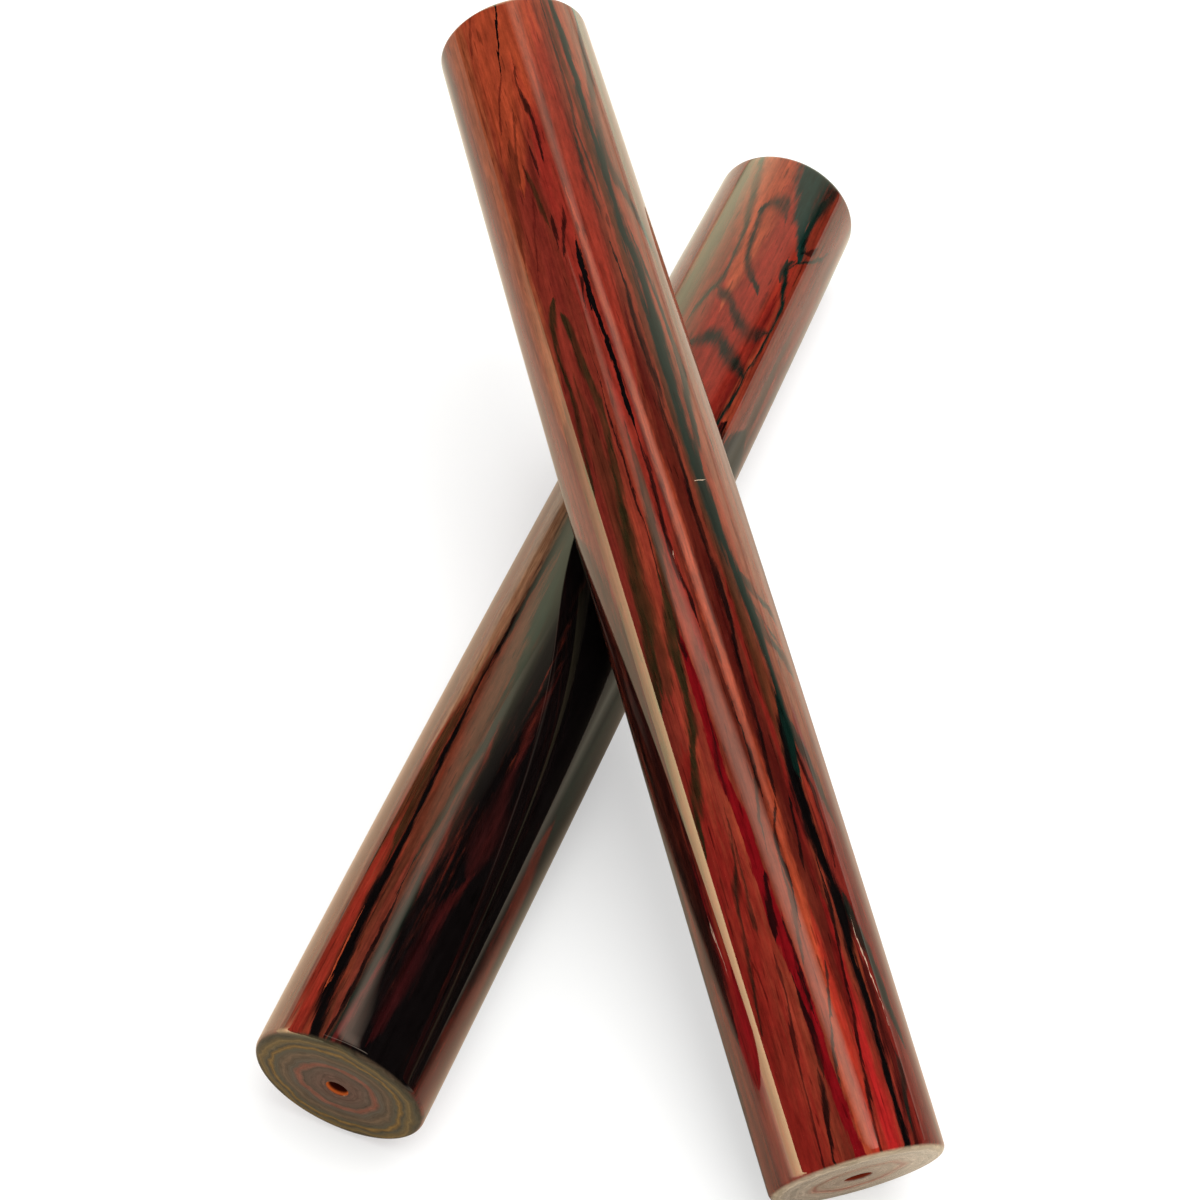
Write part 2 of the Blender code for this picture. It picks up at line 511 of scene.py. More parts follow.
STRIKER_STREAKS = (
    # broad tones
    streak(paint(106, 33, 26), (-64, -46), (-40, -46, 24), (40, -44, 24), (100, -40, 26), depth=0.7),
    streak(paint(108, 22, 18), (-101, -42, 24), (-70, -42, 22), (-46, -42, 12), (-34, -42), depth=0.85,
           soft=1.3),
    streak(paint(140, 24, 24), (-100, 14, 8), (-86, 15, 6.4), (-76, 16, 4.4), (-66, 17, 2), (-60, 17),
           depth=0.95, soft=1.3),
    streak(paint(102, 22, 18), (-64, 15), (-52, 17, 3), (-40, 19, 3), (-28, 18, 3), (-18, 18, 2.6), (-8, 17),
           depth=0.85, soft=1.3),
    streak(paint(138, 54, 32), (-100, -1, 7), (-86, 0, 5), (-72, 2, 4), (-56, 4, 3.4), (-40, 3, 3.4),
           (-26, 1, 3), (-12, -1, 3), (0, -1, 3), (14, -2, 3), (30, -4, 2.6), (46, -5, 2), (64, -7),
           depth=0.9),
    streak(paint(138, 34, 24), (-101, 4, 5), (-86, 5, 5), (-74, 6, 4), (-62, 7), depth=0.8, soft=1.3),
    streak(DARK_RED, (-86, 12), (-70, 13, 5), (-50, 12, 6), (-34, 10, 5), (0, 7, 5), (20, 7, 4), (40, 8),
           depth=0.85),
    streak(paint(126, 40, 28), (20, -1), (34, 0, 5), (50, 1, 6), (66, 2, 6), (84, 2, 7), (100, 2, 8),
           depth=0.8),
    streak(paint(120, 34, 26), (-26, -9), (-12, -10, 3), (6, -11, 5), (24, -12, 6), (40, -14, 6),
           (60, -16, 6), (76, -17, 5), (90, -18), depth=0.85),
    streak(ORANGE, (62, -38), (72, -36, 12), (84, -34, 24), (100, -26, 40), depth=0.75),
    streak(paint(84, 30, 24), (-100, 52, 12), (-84, 52, 14), (-66, 52, 13), (-52, 53, 10), (-36, 54, 6),
           (-22, 55)),
    streak(SALMON, (-56, 44), (-40, 46, 8), (-20, 50, 16), (0, 50, 20), (40, 54, 22), (70, 54, 22),
           (100, 50, 22), depth=0.7),
    streak(paint(142, 74, 46), (18, -62), (34, -60, 8), (60, -59, 9), (84, -58, 10), (100, -58, 12),
           depth=0.7),
    streak(OLIVE, (-50, 24), (-36, 25, 4), (-22, 24, 5), (-8, 22, 4), (10, 20, 3), (40, 20, 3), (80, 20, 2),
           (100, 20, 1), depth=0.7, soft=0.8),
    streak(paint(96, 28, 22), (-100, 35, 12), (-84, 36, 12), (-70, 37, 11), (-60, 37, 11), (-48, 37, 10),
           (-40, 39, 6), (-32, 42), depth=1.0),
    streak(BLACK, (-100, 31, 3), (-92, 32, 4), (-84, 33, 4), (-76, 33, 3), (-70, 33), depth=0.7, soft=1.2),
    streak(BLACK, (-100, -130, 30), (-20, -130, 34), (20, -130, 28), (60, -130), depth=1.0),
    streak(OLIVE, (-20, -21), (-10, -19.5, 2.4), (0, -17.5, 3), (8, -16, 2.2), (18, -15), depth=0.85),
    streak(OLIVE, (-30, -40), (-16, -39, 7), (0, -38, 7), (14, -38, 5), (30, -40), depth=0.6),
    streak(paint(108, 12, 18), (-88, -60), (-84, -59.4, 5), (-78, -58.4, 8), (-70, -59, 6), (-60, -60, 3),
           (-48, -61), depth=0.9),
    # a near-black band low on the left flank: painted dark reflection of the shaded floor beside the rod
    streak(paint(26, 10, 9), (-80, -68), (-72, -68, 5), (-60, -68, 9), (-44, -70, 13), (-26, -74, 16),
           (-8, -80, 16), (6, -86), depth=0.96, soft=0.8),
    # the crimson stripe beside the top
    streak(CRIMSON, (-99, -7.5, 2), (-90, -10.5, 2.6), (-81, -12.3, 2.8), (-73, -13, 2.6), (-65, -15.6, 3),
           (-59, -16.8, 3.2), (-50, -18, 2.8), (-42, -20.7, 2.6), (-32, -20.6, 2.8), (-22, -21.6, 1.6),
           (-12, -22), depth=1.0, soft=0.4),
    streak(BLACK, (-99, -23.2, 0.8), (-95, -21.4, 1), (-90, -18.8, 1.8), (-86, -17)),
    streak(BLACK, (-88, -15.5), (-85, -14.8, 1.4), (-80, -14.2, 1.6), (-76, -15.5, 1), (-72, -16)),
    streak(BLACK, (-81, -11), (-75, -10.8, 1), (-69, -11.5, 1), (-64, -12)),
    streak(BLACK, (-68, -18.5), (-64, -17.4, 1.6), (-60, -15, 1.6), (-57, -14)),
    streak(paint(30, 8, 9), (-46, -22.5), (-42, -22, 1.6), (-38, -20.6, 2), (-35, -19, 1.2), (-31, -18),
           soft=1.4),
    streak(BLACK, (-24, -21.5), (-18, -22.4, 1.2), (-11, -22.4, 0.9), (0, -22.4, 0.5), (20, -23, 0.5),
           (34, -23.4), depth=0.85),
    # left of the top
    streak(BLACK, (-100, -32, 0.9), (-92, -30, 1), (-81, -26, 1), (-74, -23.4, 1.2), (-68, -23), depth=0.75),
    streak(paint(28, 20, 13), (-80, -46), (-77, -45, 1.2), (-71, -41, 1.4), (-65, -38.5, 1.6),
           (-60.5, -36, 1.8), (-58, -34, 3), (-56, -31, 2), (-52, -27.5, 1.2), (-46, -26), depth=0.9,
           soft=1.5),
    streak(paint(28, 20, 13), (-66, -30), (-63, -29.6, 1.2), (-57, -27, 1), (-51, -26), depth=0.8, soft=1.5),
    streak(OLIVE, (-53, -49), (-48.6, -47, 2.6), (-43, -42.5, 4.5), (-38, -37, 2.4), (-34, -31.6, 3),
           (-29, -29, 2.4), (-24, -28, 3), (-18, -26, 4), (-13, -24, 2), (-6, -23), depth=0.97),
    streak(OLIVE, (-30, -50), (-26.8, -48, 3), (-20.6, -45.4, 4), (-14.4, -40, 6), (-8.3, -37.6, 4.4),
           (0, -34.7, 5), (6, -32, 3.6), (14, -30, 3), (21, -28.4, 3), (29, -31, 3), (36, -33.6, 3),
           (40, -36), depth=0.97),
    streak(OLIVE, (6, -52), (12, -50, 2), (18.5, -48.4, 2.4), (24, -46, 2), (31, -47.5, 1.8),
           (36, -46.6, 2.2), (40, -43, 3.4), (43, -37)),
    streak(BROWN, (50, -53), (56, -51, 2.6), (63, -46, 3.4), (68, -40, 3.6), (74, -36), depth=0.9),
    streak(OLIVE, (54, -25), (59, -28, 1.8), (63, -29.4, 1.8), (68, -31)),
    streak(BLACK, (64, -39), (68, -37, 1.2), (71, -33.6, 1), (75, -29.6, 1), (79, -27), depth=0.6),
    streak(DARK_RED, (75, -41), (77, -39.4, 0.8), (80, -35.6, 0.9), (83.5, -31, 0.8), (86, -29), depth=0.7),
    streak(BLACK, (85, -29), (87.6, -27, 0.5), (91, -24, 0.7), (95, -21, 0.7), (99.4, -18, 0.5), depth=1.0,
           soft=0.4),
    streak(DARK_RED, (90, -48), (94, -45, 0.9), (99, -40, 0.8), depth=0.6),
    streak(DARK_RED, (46, -46), (56, -37, 1), (66, -28), depth=0.6),
    # top
    streak(BLACK, (-19, -8), (-14, -8.6, 0.9), (-6, -10.4, 1.4), (0, -10.6, 1.7), (7, -8.8, 1.3),
           (14, -9, 0.6), (18, -9.4)),
    streak(BLACK, (15.5, -9), (18.5, -9.6, 1), (27, -10.2, 1.3), (35, -12, 1.3), (40, -12.4, 1.2),
           (46, -12, 1.8), (52, -11), depth=1.0, soft=0.3),
    streak(BLACK, (38, -19), (41, -17.3, 0.9), (44.5, -13.8, 1.1), (48, -11), depth=0.85),
    streak(BLACK, (48.6, -22.6), (51, -20.4, 1.1), (54.4, -16.4, 1.3), (58, -13), depth=0.85),
    streak(BLACK, (50, -24.5), (53.4, -23, 0.8), (58, -22.2), depth=0.8),
    streak(BLACK, (64, -23), (68, -22.5, 1.2), (72, -22.5), depth=0.8),
    streak(BLACK, (66, -17), (72, -15.4, 1.3), (77, -16, 1.2), (83, -18, 0.8), (88, -17), depth=0.9),
    streak(PINE, (-90, -7), (-84.4, -5.2, 0.9), (-79, -1, 0.9), (-75, 3.6, 1), (-71, 7), depth=0.8),
    streak(PINE, (-73, -8), (-68.7, -5.4, 1.3), (-64, -3.4, 1.6), (-59, -2.4, 0.8), (-55, -2), depth=0.7),
    streak(PINE, (-55, -9), (-50, -6.4, 0.8), (-44.4, -2.6, 1), (-41, 0), depth=0.7),
    streak(BLACK, (-67, -1.6), (-63, -0.6, 0.8), (-60, 0.5, 1.1), (-54, -0.2, 1), (-49, 3.6, 0.7), (-46, 5)),
    streak(BLACK, (-47, -1.4), (-44, -1.2, 0.9), (-40, -0.8, 0.9), (-34, -1.4, 0.4), (-28, -2)),
    streak(BLACK, (-99, 5.6, 0.8), (-96, 6.2, 1.3), (-92, 8, 1.2), (-88, 9.4, 0.8), (-83.5, 11.7, 1),
           (-77, 14.6, 0.8), (-71, 18, 1.2), (-66, 20.6, 1.5), (-60, 21.6, 1), (-55, 21)),
    streak(BLACK, (-59, 11.6), (-55.6, 12.5, 1.2), (-50.6, 14.2, 1.2), (-46, 16.4)),
    streak(BLACK, (-48, 5.6), (-44.4, 7.4, 1.2), (-38, 9.6, 1.6), (-30, 11.2, 1.5), (-22.7, 12, 1.4),
           (-16.5, 13.7, 1.8), (-6, 13.2, 1.4), (2, 12.6, 1.5), (10, 12.6, 1.5), (22, 13, 1.8),
           (34, 13.2, 2), (42, 13, 1), (52, 12)),
    streak(PINE, (54, 11.8), (59, 11.2, 1), (66, 10, 0.9), (72, 11), depth=0.8),
    streak(PINE, (56, 16.4), (61, 15.8, 1), (71, 13.7, 1), (79, 15, 1), (92, 16.6, 0.8), (100, 17, 0.4),
           depth=0.8),
    # the long green-black stripe right of the top, and what branches from it
    streak(BLACK, (-100, 23.6, 2), (-92, 23.6, 2.2), (-86, 25.4, 2.6), (-79, 26.4, 3.2), (-73, 26.4, 4),
           (-68, 28, 6), (-65, 29, 7.6), (-61, 28, 5), (-58, 26, 4), (-54, 24.8, 4.6), (-48.6, 24, 5),
           (-43, 25, 4.4), (-38, 27.6, 4.6), (-33, 29.6, 2), (-28, 31), depth=1.0),
    streak(PINE, (-46, 28), (-40, 30, 3), (-35, 31.6, 3.6), (-27, 32, 3.4), (-18.5, 31.4, 4), (-12, 29, 4.4),
           (-6, 26, 4), (0, 24.2, 3.6), (6, 23.4, 4), (12, 23, 4), (18.5, 23.6, 3.6), (27, 25.4, 4),
           (35, 27, 5), (46, 27, 4.6), (54, 24.8, 3.4), (61, 25.2, 3), (67, 26, 3.8), (75, 25.2, 3),
           (87, 26, 3.2), (99.5, 25.4, 2.6), depth=1.0),
    streak(PINE, (6, 24.6), (10, 27.6, 2.6), (14.4, 31.6, 3), (19.3, 34.4, 3.2), (27, 38, 2.8),
           (34, 37.6, 2.4), (40, 36, 2.2), (46, 33.6, 2), (52, 31), depth=0.95),
    streak(PINE, (48, 53), (53, 47, 2.6), (58.8, 39.6, 3.4), (63, 33.4, 4), (67, 30.6, 4), (71, 31.6, 3.6),
           (77.3, 35.4, 3.8), (83.5, 40.4, 3.4), (89.7, 44.3, 2.4), (98, 49.4, 1.8), depth=0.8),
    streak(PINE, (-86, 49), (-79.4, 44, 3.4), (-75, 42, 3.6), (-71, 40.2, 3.6), (-66, 36.4, 3), (-62, 34),
           depth=0.95),
    streak(PINE, (-98, 30), (-94.6, 32, 1.6), (-90, 36, 2), (-85, 37), depth=0.8),
    streak(BLACK, (-60, 33), (-55, 37, 1.2), (-49, 37, 1.2), (-43, 33.6, 1.6), (-39, 31), depth=0.8),
    streak(PINE, (-53, 50), (-46.5, 44.6, 3.4), (-42, 40.6, 4), (-38.3, 36.4, 4), (-34, 32), depth=0.85),
    streak(PINE, (-28, 56), (-23.9, 49, 5), (-22.4, 42, 5), (-20.4, 36.4, 5), (-17, 32), depth=0.85),
    streak(PINE, (-24, 53), (-21.2, 46.6, 1.6), (-18.4, 39, 1.8), (-15, 33), depth=0.7),
    streak(PINE, (-19, 58), (-16.5, 51.6, 4), (-15, 44.6, 4.4), (-13.4, 38, 4.4), (-10, 31), depth=0.85),
    streak(paint(132, 46, 30), (-57, 31), (-53, 33.4, 2), (-48, 33.4, 2), (-44, 31.6), depth=0.6),
    # open pores and specks in the lacquer: pale marks, partly specks and partly painted glints of light
    # caught in the pores
    streak(GLINT_AND_SPECK, (-83, 38.4), (-79, 37.8, 0.25), (-74, 36.4, 0.3), (-69, 35.4, 0.25), (-66, 35), depth=0.6),
    streak(GLINT_AND_SPECK, (-70, -58.6), (-67, -59.4, 0.3), (-63, -60.6, 0.3), (-60, -61.4), depth=0.7),
    streak(GLINT_AND_SPECK, (18.6, 5.3), (20, 5.4, 0.07), (25, 5.5, 0.07), (27, 5.6), depth=0.7, soft=0.6,
           runs="around"),
    streak(GLINT_AND_SPECK, (5.5, 31), (5.8, 31, 0.7), (6.1, 31), depth=0.9, soft=0.5),
    streak(GLINT_AND_SPECK, (-6.3, -9), (-6, -9, 0.5), (-5.7, -9), depth=0.8, soft=0.5),
    streak(GLINT_AND_SPECK, (17.3, -9), (17.6, -9, 0.8), (17.9, -9), depth=0.95, soft=0.5),
    streak(GLINT_AND_SPECK, (61.8, -44.4), (62, -44.4, 0.4), (62.3, -44.2), depth=0.7, soft=0.5),
    streak(GLINT_AND_SPECK, (67.2, -39), (67.4, -38.8, 0.3), (67.6, -38.6), depth=0.6, soft=0.5),
    streak(GLINT_AND_SPECK, (80.6, -19), (80.8, -18.8, 0.4), (81.1, -18.4), depth=0.7, soft=0.5),
)

STRIKER_LOOK = {
    "seed": 1,
    "end_coat": 1.0,
    "hole": paint(104, 32, 16),
    "tones": (
        paint(58, 18, 13), paint(88, 33, 22), paint(106, 43, 28), paint(121, 46, 31), paint(142, 64, 38),
    ),
    # pale cream end rings: partly the end grain's colour, partly a painted sheen of the bright floor mirrored
    # at a grazing angle
    "rings": [
        (0.0, paint(122, 92, 78)), (0.30, paint(150, 130, 112)), (0.42, paint(144, 118, 98)),
        (0.46, paint(120, 50, 38)), (0.50, paint(146, 110, 92)), (0.56, paint(150, 132, 114)),
        (0.80, paint(158, 142, 124)), (0.95, paint(160, 140, 110)),
    ],
    "streaks": STRIKER_STREAKS,
}

RESONATOR_STREAKS = (
    # broad tones, near half
    streak(paint(122, 34, 24), (-100, -31, 8), (-84, -31, 6), (-70, -31, 4), (-60, -31), depth=0.9),
    streak(OLIVE, (-72, -36), (-64, -35, 3), (-54, -33, 4), (-44, -32, 2), (-38, -31), depth=0.75),
    streak(OLIVE, (-70, -24), (-58, -26, 3), (-44, -28, 2), (-30, -27, 2.4), (0, -26, 4), (14, -26),
           depth=0.8, soft=0.8),
    streak(paint(82, 30, 24), (-101, -53, 13), (-88, -53, 12), (-76, -52, 9), (-62, -51, 5), (-46, -50),
           depth=0.75, soft=1.3),
    # a pale tan on the left flank: partly the wood's own tone, partly a painted sheen of the light mirrored
    # on that flank
    streak(paint(132, 96, 70), (-50, -39), (-38, -37, 4), (-26, -35, 7), (-10, -34, 11), (6, -34, 12),
           (18, -34), depth=0.95, soft=1.3),
    streak(TAN, (-100, -62, 22), (0, -60, 24), (100, -60, 28), depth=0.6),
    streak(paint(70, 34, 22), (-100, -2, 10), (-80, -4, 12), (-60, -6, 14), (-30, -8, 15), (4, -12, 14),
           (16, -12), depth=0.9, soft=0.8),
    # the dark zone under and beside the crossing: partly dark heartwood, partly painted shadow of the striker
    # and painted reflection of its dark underside
    streak(paint(34, 15, 12), (-100, 8, 12), (-80, 9, 11), (-60, 8, 9), (-44, 6, 9), (-30, 2, 9),
           (-10, -4, 10), (8, -10, 10), (16, -10), depth=0.9),
    streak(BLACK, (-100, 33, 25), (-80, 36, 26), (-60, 37, 27), (-45, 35, 28), (-35, 36, 27), (-27, 34, 27),
           (-19, 30, 31), (-5, 26, 36), (8, 26, 36), (20, 34, 26), (30, 44, 10), (36, 50), depth=1.0,
           soft=0.8),
    streak(BLACK, (-100, 57, 15), (-90, 59, 15), (-80, 66, 22), (-70, 74, 30), (-40, 80, 34), (0, 80, 34),
           (26, 76, 22), (40, 70), depth=1.0, soft=0.6),
    streak(BLACK, (-42, 12), (-34, 12, 5), (-26, 9, 10), (-17, 4, 13), (-8, 0, 15), (6, -5, 15), (16, -6),
           depth=1.0),
    # a green tone on the right flank: painted reflection, the greenish tint of the floor mirrored there
    streak(paint(15, 28, 22), (-62, 74), (-50, 73, 6), (-38, 72, 10), (-20, 72, 13), (4, 72, 13), (16, 72),
           depth=1.0, soft=1.3),
    streak(paint(84, 28, 18), (-101, 76, 13), (-86, 77, 11), (-72, 76, 8), (-60, 72, 6), (-48, 68),
           depth=0.95, soft=1.2),
    streak(BLACK, (-86, 118), (-70, 118, 24), (-40, 118, 30), (10, 118, 30), (40, 118), depth=1.0, soft=0.8),
    streak(paint(60, 17, 15), (-80, 24), (-76.5, 25, 2.6), (-73, 26, 3), (-69, 29, 1.6), (-65, 31),
           depth=0.7, soft=1.7),
    streak(paint(50, 15, 14), (-68, 29), (-64, 28, 6), (-60, 29, 9), (-56, 28, 7), (-50, 25, 4),
           (-44, 24, 3), (-40, 25), depth=0.7, soft=1.8),
    streak(paint(68, 23, 18), (-48, 24), (-43, 22.4, 2), (-39, 21, 3), (-35, 21, 2.4), (-30, 22, 1),
           (-26, 21), depth=0.75, soft=1.7),
    streak(paint(52, 13, 14), (-98, 20), (-91, 22, 5), (-84, 23, 6), (-76, 24, 5), (-70, 26), depth=0.6,
           soft=1.7),
    streak(paint(60, 12, 14), (-100, 72, 4), (-96, 76, 6), (-88, 82, 8), (-80, 88, 8), (-72, 94), depth=0.7),
    # veins, near half
    streak(BLACK, (-100, -12, 3), (-97, -15, 4.4), (-93, -17, 4.6), (-86, -18.4, 4.8), (-77.6, -20, 4.8),
           (-69, -20, 3.6), (-61, -20, 2.2), (-52.5, -22.2, 2.4), (-44, -23.2, 2), (-35.7, -24.5, 1.6),
           (-27, -24, 1.6), (-16, -23, 2.4), (-5, -22, 3), (10, -22, 1), (16, -22), depth=1.0),
    streak(ORANGE, (-92.6, -20.4), (-91, -20.8, 0.4), (-87, -21.8, 0.6), (-82, -22.4, 0.5), (-77, -23.4),
           depth=0.9, soft=0.5),
    streak(paint(92, 36, 26), (-98, -6, 1), (-90, -7, 3.4), (-80, -8, 3.4), (-72, -8, 2.4), (-62, -9),
           depth=0.85),
    streak(paint(84, 26, 20), (-76, 7), (-68, 5.8, 1.6), (-58, 5.4, 1.8), (-50, 6, 2), (-44, 3, 1.4),
           (-38, 1), depth=0.8, soft=1.3),
    streak(PINE, (-99, -2, 2), (-94, -0.6, 3.6), (-88.8, 2, 6), (-82, 3, 5), (-76, 3, 3), (-68, 2),
           depth=0.9),
    streak(PINE, (-70, -6.4), (-66.5, -5.4, 1.4), (-58, -3.3, 2.4), (-51, -2, 2.6), (-44, 0, 2.4),
           (-34, -1, 3.4), (-20, -6, 4), (-6, -12, 3), (8, -16), depth=0.85),
    streak(paint(80, 26, 24), (-101, 0, 1.6), (-94, 2, 2.6), (-87, 5, 2.2), (-79, 8), depth=0.9, soft=1.7),
    streak(BLACK, (-101, -6, 0.8), (-92, -4.4, 1.2), (-84, -4.8, 1), (-75, -6, 0.6), (-66, -6), soft=0.8),
    streak(BLACK, (-100, 9, 3), (-88.8, 10, 4), (-75, 10, 3.4), (-66.5, 11, 3), (-61, 8.4, 3),
           (-55, 10, 5.4), (-47, 10.6, 4.4), (-41, 6.4, 3.4), (-33, 4.8, 3.4), (-24.5, 2.3, 3), (-16, -1, 3),
           (-5, -8, 3), (6, -12, 1), (14, -14), depth=0.97),
    # broad tones, far half
    streak(RED_BROWN, (14, 10), (26, 10, 30), (60, 14, 36), (90, 16, 36), (100, 16, 36), depth=0.7,
           soft=0.9),
    streak(paint(126, 34, 24), (18, 26), (28, 26, 12), (50, 22, 22), (66, 20, 26), (84, 20, 22),
           (96, 20, 10), depth=0.7),
    streak(paint(142, 62, 38), (56, 6), (72, 4, 9), (86, -2, 14), (100, -6, 18), depth=0.9),
    # dark red beside the crossing on the far half: painted shadow of the striker
    streak(paint(84, 18, 15), (14, 40), (24, 40, 7), (38, 39, 7), (50, 40, 6), (62, 41, 4), (68, 40),
           depth=0.85, soft=1.5),
    streak(OLIVE, (34, -30), (46, -29, 6), (58, -27, 7), (70, -27, 6), (80, -28, 5), (92, -31, 4),
           (100, -33, 3), depth=0.7, soft=0.8),
    streak(OLIVE, (16, 72), (26, 72, 3), (36, 73, 5), (48, 71, 4), (58, 70, 3), (68, 70), depth=0.7,
           soft=0.8),
    # veins, far half
    streak(PINE, (26, 43), (35.5, 43.4, 2), (41, 44.8, 2), (46, 44.6, 1.8), (50.6, 47.4, 1.5),
           (57.6, 48.7, 1.5), (62, 48.8, 1.8), (65, 48.8, 2.6), (67.4, 45.4, 2.6), (70.8, 40.6, 3),
           (73.2, 37, 2.8), (76, 35), depth=1.0, soft=1.3),
    streak(PINE, (-7, 45.4), (1, 47.8, 1.9), (7, 49.4, 2.4), (12, 50.1, 2.7), (19, 49.2, 2.6),
           (26.5, 47.8, 2.5), (34, 47.3, 2.2), (42, 46.4, 1.7), (46, 46), depth=0.95, soft=1.3,
           runs="around"),
    streak(PINE, (-4, 62), (1, 60.6, 1.6), (8.6, 60, 1.8), (16, 57.6, 1.8), (24, 55.8, 2), (31.6, 54.8, 2.3),
           (39, 55.8, 2.1), (48, 58.6), depth=0.85, soft=1.3, runs="around"),
    streak(PINE, (50, -13), (55.8, -11.2, 2), (60, -8, 2.6), (62.6, -4.4, 3), (67, -3.3, 2.6),
           (76.5, -5.4, 2.6), (83.5, -11, 2.8), (90.6, -16.8, 3.2), (99, -23.2, 3), soft=1.3),
    streak(PINE, (63.6, 27), (65.4, 23, 3.4), (67, 15.4, 4.4), (69.4, 10, 4), (72.7, 5, 3.4),
           (78.8, 1.6, 2.6), (84, -0.3, 2.8), (87, 1), depth=0.95, soft=1.3),
    streak(PINE, (-4, 83), (-0.5, 85, 1.8), (4, 86.6, 2.2), (11, 87.4, 2.8), (15, 86.8, 2.5),
           (18, 84.8, 1.4), (21, 82), depth=0.95, soft=1.3, runs="around"),
    streak(BLACK, (60.6, 33), (62, 33, 1.8), (64.4, 33, 2.4), (66.6, 33), depth=0.6, soft=1.5),
    streak(PINE, (69.6, 37), (71.4, 35.6, 3), (73.4, 35.6, 3.4), (75.4, 38, 2.4), (77, 41), depth=0.95,
           soft=1.3),
    streak(paint(14, 36, 31), (77, 45), (80.6, 41, 6), (82.6, 37, 6), (85, 33, 7), (88.2, 30, 9),
           (92, 27, 12), (95.3, 25, 15), (100, 24, 18), depth=1.0, soft=0.9),
    streak(PINE, (78.6, 43), (83, 40.6, 4), (86, 39.6, 3.4), (90, 41.4, 4), (93, 43, 5), (99.5, 46, 6),
           depth=0.95, soft=1.3),
    streak(PINE, (84, 39), (90, 37, 4), (95, 36, 6), (100, 35, 8), depth=0.9),
    streak(PINE, (73, 37), (75.4, 41, 1.2), (78.2, 49, 1.4), (80.7, 57, 2), (84, 64, 1.2), (88, 70),
           depth=0.9, soft=1.3),
    streak(BLACK, (79.6, 44), (80.6, 49, 3), (82, 52.6, 2.6), (84, 55), depth=0.8),
    streak(BROWN, (69, -38), (71, -38.6, 0.9), (76.5, -40.3, 0.8), (81, -42, 1), (84, -43), depth=0.9,
           soft=0.3),
)

RESONATOR_LOOK = {
    "seed": 2,
    "end_coat": 0.3,
    "hole": RAW_WOOD,
    "tones": (
        paint(56, 14, 10), paint(84, 28, 18), paint(98, 38, 24), paint(112, 40, 26), paint(136, 62, 38),
    ),
    "rings": [
        (0.0, paint(66, 50, 42)), (0.2, paint(80, 56, 46)), (0.36, paint(72, 58, 48)),
        (0.42, paint(104, 58, 44)), (0.48, paint(66, 58, 48)), (0.6, paint(78, 60, 44)),
        (0.69, paint(60, 56, 44)), (0.73, paint(112, 82, 38)), (0.77, paint(58, 54, 42)),
        (0.83, paint(94, 74, 42)), (0.9, paint(60, 54, 40)), (0.96, paint(62, 50, 38)),
    ],
    "streaks": RESONATOR_STREAKS,
}

# ------------------------ building, stage, light, camera


def place(name, data):
    made = bpy.data.objects.new(name, data)
    bpy.context.scene.collection.objects.link(made)
    return made


def build_rod(node, far_mount, body, slot_name, look):
    rod = rod_from_frame(node, far_mount)
    piece = place(node + "_turned", rod_mesh(rod, node + "_turned", look["seed"]))
    piece.matrix_world = rod["place"]
    piece.data.materials.append(rosewood(slot_name + "_lacquered", rod, look))
    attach(piece, body)
    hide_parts(node)


def painted_sheet(name, points, columns, colours, material):
    """A sheet over rows of points, for the stage, with a colour at each point for its material to read."""
    faces = [
        (corner, corner + 1, corner + 1 + columns, corner + columns)
        for start in range(0, len(points) - columns, columns)
        for corner in range(start, start + columns - 1)
    ]
    mesh = bpy.data.meshes.new(name)
    mesh.from_pydata(points, [], faces)
    coat = mesh.color_attributes.new("paint", "FLOAT_COLOR", "POINT")
    coat.data.foreach_set("color", np.hstack([colours, np.ones((len(points), 1))]).ravel())
    mesh.materials.append(material)
    sheet = place(name, mesh)
    return sheet


def show_in_lacquer_only(sheet):
    sheet.visible_camera = sheet.visible_diffuse = sheet.visible_shadow = False


def floor_material(name, glow):
    """Matt paint. Its glow is light of its own, which keeps shadows faint."""
    shader = Shader(name)
    coat = shader.node("VertexColor", layer_name="paint")
    shader.feed(shader.surface.inputs["Base Color"], coat.outputs["Color"])
    shader.surface.inputs["Roughness"].default_value = 0.8
    shader.surface.inputs["Specular IOR Level"].default_value = 0.0
    shader.surface.inputs["Emission Strength"].default_value = glow
    return shader.material


FLOOR_REACH = 12
FLOOR_DROP = 0.2 * MM
FLOOR_COLOUR = (0.56, 0.56, 0.55)
FLOOR_GLOW = 0.42

# The floor as the lacquer mirrors it: columns in x, rows in y, and at each crossing how bright it is and
# how neutral. It is warm on the near left, where the room's light is warm, and neutral beyond.
MIRRORED_DROP = 0.1 * MM
MIRRORED_WARM = (0.79, 0.62, 0.43)
MIRRORED_NEUTRAL = (0.82, 0.77, 0.62)
MIRRORED_COLUMNS = (-12, -0.6, -0.28, -0.13, -0.06, 0.0, 0.03, 0.06, 0.09, 0.15, 0.28, 0.5, 12)
MIRRORED_ROWS = (-12, -0.20, 0.0, 0.12, 0.40, 12)
MIRRORED_BRIGHT = (
    (0.1, 0.2, 0.5, 0.9, 1, 0.5, 0.3, 0.7, 0.55, 0.3, 0.1, 0, 0),
    (0.1, 0.2, 0.5, 0.9, 1, 0.5, 0.3, 0.7, 0.55, 0.3, 0.1, 0, 0),
    (0.1, 0.2, 0.5, 0.9, 1, 0.75, 0.3, 0.95, 0.6, 0.45, 0.2, 0, 0),
    (0.2, 0.4, 0.6, 0.9, 1, 1, 1, 1, 0.9, 0.8, 0.6, 0.4, 0.2),
    (0.7, 0.8, 0.9, 1, 1, 1, 1, 1, 1, 1, 1, 0.9, 0.8),
    (0.8, 0.9, 0.9, 1, 1, 1, 1, 1, 1, 1, 1, 0.9, 0.9),
)
